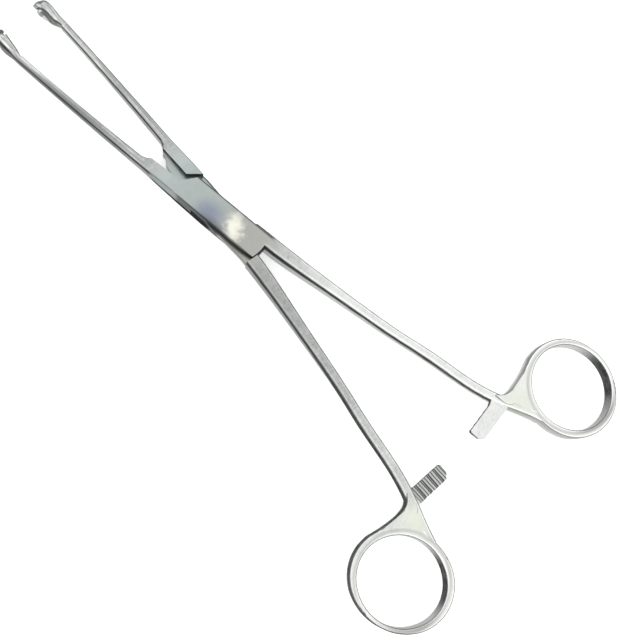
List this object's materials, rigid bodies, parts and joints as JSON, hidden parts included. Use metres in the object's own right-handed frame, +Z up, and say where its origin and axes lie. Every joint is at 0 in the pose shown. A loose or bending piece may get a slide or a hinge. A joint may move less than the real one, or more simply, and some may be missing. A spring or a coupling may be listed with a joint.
{
  "type": "tissue forceps",
  "caption": "Box-lock tissue forceps with slim jaws, broad toothed grasping ends, ratchet bars and finger rings.",
  "frame": {"origin": "centre of the footprint at the lowest point, with the instrument lying flat and slightly open", "axes": "+X from the finger rings to the jaw ends, +Y towards the jaw of the box half, +Z up along the hinge pin"},
  "size_m": [0.189, 0.0936, 0.0065],
  "materials": {
    "satin_steel": "satin",
    "pin_steel": "satin"
  },
  "bodies": {
    "box": {"box_half": "satin_steel", "pivot_pin": "pin_steel"},
    "insert": {"insert_half": "satin_steel"}
  },
  "joints": [
    {"name": "box_lock", "type": "hinge", "parent": "box", "child": "insert", "pos_m": [0.01848, 0, 0.00327], "axis": [0, 0, -1], "range_deg": [-8.3, 34.7]}
  ]
}
